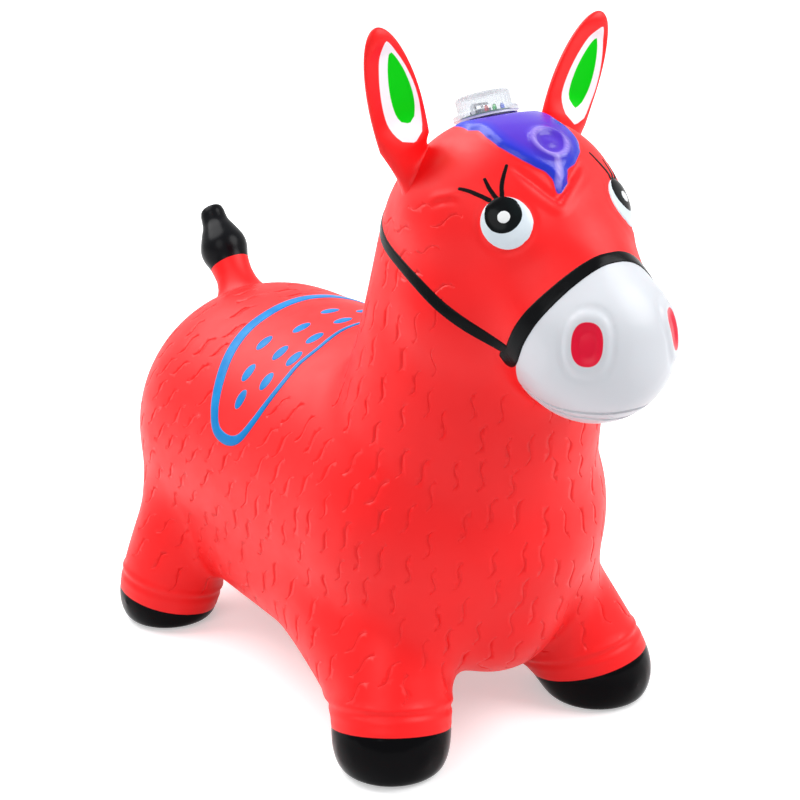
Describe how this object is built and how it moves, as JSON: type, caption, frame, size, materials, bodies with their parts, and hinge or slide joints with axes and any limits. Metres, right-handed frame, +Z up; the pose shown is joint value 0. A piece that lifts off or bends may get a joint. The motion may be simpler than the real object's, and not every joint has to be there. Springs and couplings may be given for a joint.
{
  "type": "bouncy ride-on horse",
  "caption": "Inflatable soft-plastic ride-on horse that bounces on short splayed legs, with soft ears to hold, a stub tail and a clear music and light module on its head.",
  "frame": {"origin": "on the floor, under the middle of the horse's bounding box", "axes": "+X towards the horse's nose, +Y to its left, +Z up"},
  "size_m": [0.5666, 0.286, 0.5282],
  "materials": {
    "red_skin": "satin moulded soft PVC",
    "black_paint": "glossy black paint on soft PVC",
    "white_plastic": "moulded white plastic",
    "clear_plastic": "clear moulded plastic",
    "green_board": "lacquered circuit board",
    "black_resin": "black resin and plastic",
    "red_lens": "tinted lamp lens",
    "green_lens": "tinted lamp lens",
    "blue_lens": "tinted lamp lens",
    "steel": "plated steel",
    "brass": "sheet brass",
    "red_wire": "wire sleeve",
    "black_wire": "wire sleeve"
  },
  "bodies": {
    "torso": {"torso_skin": "red_skin", "neck_base": "red_skin", "front_left_leg": "red_skin", "front_right_leg": "red_skin", "rear_left_leg": "red_skin", "rear_right_leg": "red_skin", "tail_root": "red_skin"},
    "head": {"head_skin": "red_skin", "left_ear_root": "red_skin", "right_ear_root": "red_skin"},
    "left_ear": {"left_ear": "red_skin"},
    "right_ear": {"right_ear": "red_skin"},
    "tail": {"tail_tuft": "black_paint"},
    "front_left_hoof": {"front_left_hoof": "black_paint"},
    "front_right_hoof": {"front_right_hoof": "black_paint"},
    "rear_left_hoof": {"rear_left_hoof": "black_paint"},
    "rear_right_hoof": {"rear_right_hoof": "black_paint"},
    "air_plug": {"air_plug": "white_plastic"},
    "module": {"module_tub": "white_plastic", "module_cap": "clear_plastic", "circuit_board": "green_board", "chip_blob": "black_resin", "led_red": "red_lens", "led_green": "green_lens", "led_blue": "blue_lens", "button_cell_1": "steel", "button_cell_2": "steel", "button_cell_3": "steel", "cell_holder": "black_resin", "positive_contact": "brass", "negative_contact": "brass", "trembler_spring": "steel", "trembler_pin": "steel", "speaker_disc": "brass", "speaker_wire_red": "red_wire", "speaker_wire_black": "black_wire"}
  },
  "joints": [
    {"name": "neck_nod", "type": "hinge", "parent": "torso", "child": "head", "pos_m": [0.11, 0, 0.2742], "axis": [0, 1, 0], "range_deg": [-6, 6], "stiffness_Nm_per_rad": 20, "springref_deg": -0.34, "deforming": ["neck_base"]},
    {"name": "left_ear_bend", "type": "hinge", "parent": "head", "child": "left_ear", "pos_m": [0.1081, 0.0684, 0.4477], "axis": [0, 0.9592, -0.2827], "range_deg": [-25, 25], "stiffness_Nm_per_rad": 0.3, "deforming": ["left_ear_root"]},
    {"name": "right_ear_bend", "type": "hinge", "parent": "head", "child": "right_ear", "pos_m": [0.1081, -0.0684, 0.4477], "axis": [0, 0.9592, 0.2827], "range_deg": [-25, 25], "stiffness_Nm_per_rad": 0.3, "deforming": ["right_ear_root"]},
    {"name": "tail_bend", "type": "hinge", "parent": "torso", "child": "tail", "pos_m": [-0.2324, 0, 0.2719], "axis": [0, 1, 0], "range_deg": [-20, 20], "stiffness_Nm_per_rad": 0.4, "deforming": ["tail_root"]},
    {"name": "front_left_bounce", "type": "slide", "parent": "torso", "child": "front_left_hoof", "axis": [0, 0, 1], "range_m": [0, 0.018], "stiffness_N_per_m": 2500, "springref_m": -0.003, "deforming": ["front_left_leg"]},
    {"name": "front_right_bounce", "type": "slide", "parent": "torso", "child": "front_right_hoof", "axis": [0, 0, 1], "range_m": [0, 0.018], "stiffness_N_per_m": 2500, "springref_m": -0.003, "deforming": ["front_right_leg"]},
    {"name": "rear_left_bounce", "type": "slide", "parent": "torso", "child": "rear_left_hoof", "axis": [0, 0, 1], "range_m": [0, 0.018], "stiffness_N_per_m": 2500, "springref_m": -0.003, "deforming": ["rear_left_leg"]},
    {"name": "rear_right_bounce", "type": "slide", "parent": "torso", "child": "rear_right_hoof", "axis": [0, 0, 1], "range_m": [0, 0.018], "stiffness_N_per_m": 2500, "springref_m": -0.003, "deforming": ["rear_right_leg"]},
    {"name": "plug_pull", "type": "slide", "parent": "torso", "child": "air_plug", "axis": [0, 0, -1], "range_m": [0, 0.022]},
    {"name": "module_pull", "type": "slide", "parent": "head", "child": "module", "axis": [-0.3665, 0, 0.9304], "range_m": [0, 0.016]}
  ]
}
